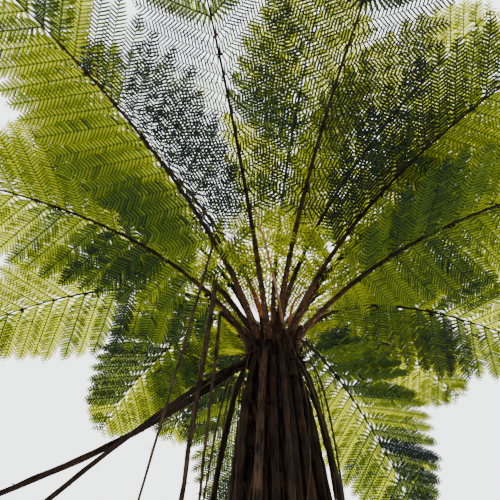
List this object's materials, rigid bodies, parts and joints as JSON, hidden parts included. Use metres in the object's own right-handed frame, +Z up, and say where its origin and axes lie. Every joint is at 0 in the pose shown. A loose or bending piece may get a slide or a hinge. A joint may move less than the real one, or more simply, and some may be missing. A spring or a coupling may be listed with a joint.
{
  "type": "tree fern",
  "caption": "Tree fern rooted in the ground: a leaning fibrous trunk with a flared foot, an arching crown of divided fronds and a skirt of dead stalks.",
  "frame": {"origin": "middle of the flat cut under the trunk, at ground level", "axes": "+Z up; -Y is the side the picture was taken from; the trunk leans towards +X"},
  "size_m": [4.4617, 4.553, 5.2981],
  "materials": {
    "trunk_fibre": "rough matted root fibre, matt",
    "live_foliage": "thin living leaf, slightly glossy",
    "young_scales": "soft brown scales, matt",
    "dead_stalk": "dry and dull"
  },
  "bodies": {
    "root": {"trunk": "trunk_fibre", "skirt_stalk_1": "dead_stalk", "skirt_stalk_2": "dead_stalk", "skirt_stalk_3": "dead_stalk", "skirt_stalk_4": "dead_stalk", "skirt_stalk_5": "dead_stalk", "skirt_stalk_6": "dead_stalk", "skirt_stalk_7": "dead_stalk", "skirt_stalk_8": "dead_stalk", "skirt_stalk_9": "dead_stalk", "skirt_stalk_10": "dead_stalk", "skirt_stalk_11": "dead_stalk", "skirt_stalk_12": "dead_stalk", "skirt_stalk_13": "dead_stalk", "skirt_stalk_14": "dead_stalk", "skirt_stalk_15": "dead_stalk", "skirt_stalk_16": "dead_stalk", "skirt_stalk_17": "dead_stalk", "skirt_stalk_18": "dead_stalk", "skirt_stalk_19": "dead_stalk", "skirt_stalk_20": "dead_stalk", "skirt_stalk_21": "dead_stalk", "skirt_stalk_22": "dead_stalk", "skirt_stalk_23": "dead_stalk", "skirt_stalk_24": "dead_stalk", "sweeping_stalk_1": "dead_stalk", "sweeping_stalk_2": "dead_stalk", "snapped_high_rise": "dead_stalk", "snapped_high_hang": "dead_stalk", "snapped_broad_rise": "dead_stalk", "snapped_broad_hang": "dead_stalk", "snapped_low_rise": "dead_stalk", "snapped_low_hang": "dead_stalk", "bent_stalk": "dead_stalk", "crozier": "young_scales", "frond_1": "live_foliage", "frond_2": "live_foliage", "frond_3": "live_foliage", "frond_4": "live_foliage", "frond_5": "live_foliage", "frond_6": "live_foliage", "frond_7_inner": "live_foliage", "frond_7_outer": "live_foliage", "frond_8": "live_foliage", "frond_9_inner": "live_foliage", "frond_9_outer": "live_foliage", "frond_10": "live_foliage", "frond_11_inner": "live_foliage", "frond_11_outer": "live_foliage", "frond_12_inner": "live_foliage", "frond_12_outer": "live_foliage", "frond_13": "live_foliage", "frond_14": "live_foliage", "frond_15_inner": "live_foliage", "frond_15_outer": "live_foliage", "frond_16": "live_foliage", "frond_17_inner": "live_foliage", "frond_17_outer": "live_foliage", "frond_18": "live_foliage", "frond_19": "live_foliage"}
  },
  "joints": []
}
